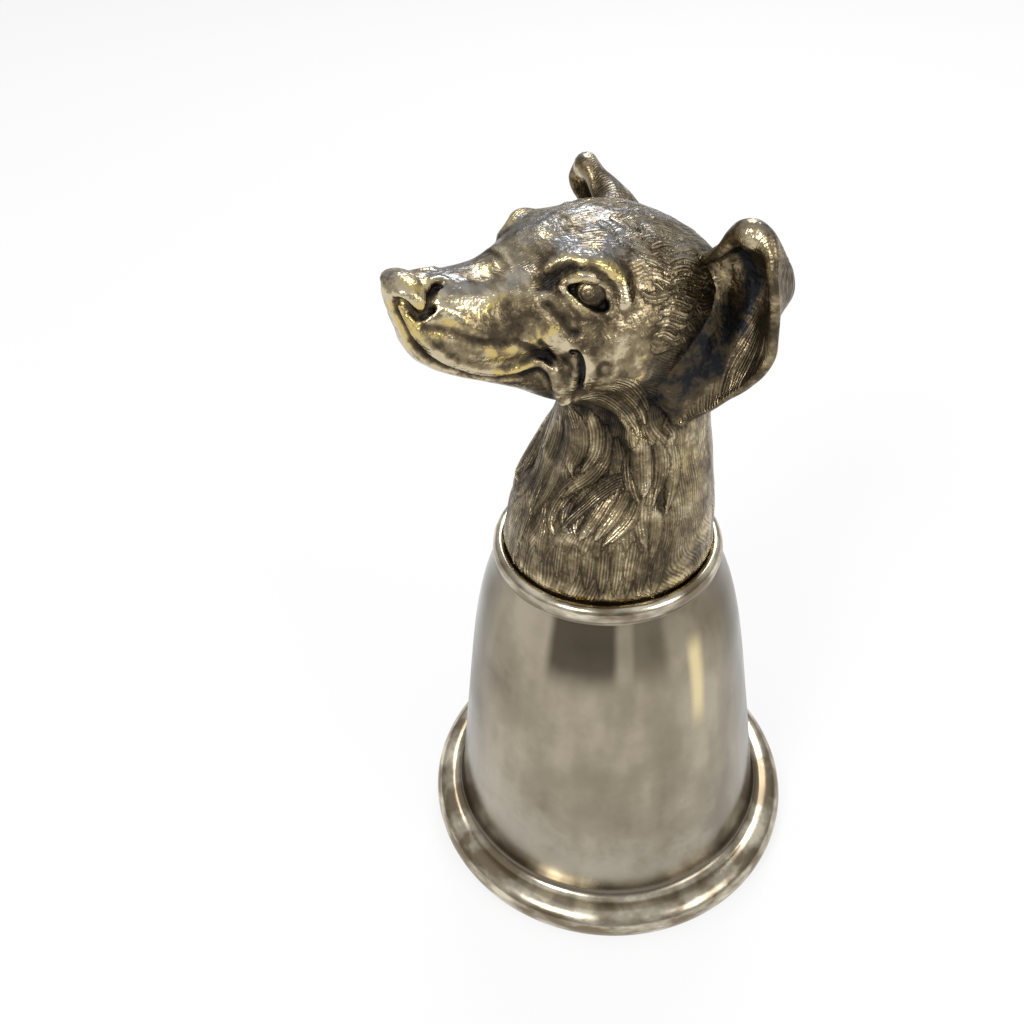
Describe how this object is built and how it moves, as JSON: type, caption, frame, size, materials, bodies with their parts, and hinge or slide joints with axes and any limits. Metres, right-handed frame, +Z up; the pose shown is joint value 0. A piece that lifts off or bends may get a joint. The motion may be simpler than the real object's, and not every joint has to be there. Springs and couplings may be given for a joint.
{
  "type": "hound-head stirrup cup",
  "caption": "Stirrup cup: a tapered silver-plated bowl with a rolled rim, stood mouth down, with a cast pewter hound's head and neck on its closed end.",
  "frame": {"origin": "centre of the cup's mouth, in the plane that its rim rests on", "axes": "+Z up the cup's axis to the head; the hound looks along -Y; +X is the left side of its head"},
  "size_m": [0.089, 0.089, 0.1584],
  "materials": {
    "silver_plate": "polished silver plate on spun brass, warm, with fine handling marks",
    "cast_pewter": "cast and chased pewter, patinated dark in the hollows and rubbed bright on the heights",
    "ear_pewter": "cast pewter, patinated, darker inside the ear",
    "eye_pewter": "polished pewter bead with an engraved iris, dark in the groove",
    "plate_brass": "plain turned brass",
    "stud_steel": "plain steel",
    "washer_fibre": "dark fibre"
  },
  "bodies": {
    "root": {"cup_shell": "silver_plate", "seat_washer": "washer_fibre", "mount_stud": "stud_steel", "neck_plate": "plate_brass", "head_casting": "cast_pewter", "left_ear": "ear_pewter", "right_ear": "ear_pewter", "left_eye": "eye_pewter", "right_eye": "eye_pewter"}
  },
  "joints": []
}
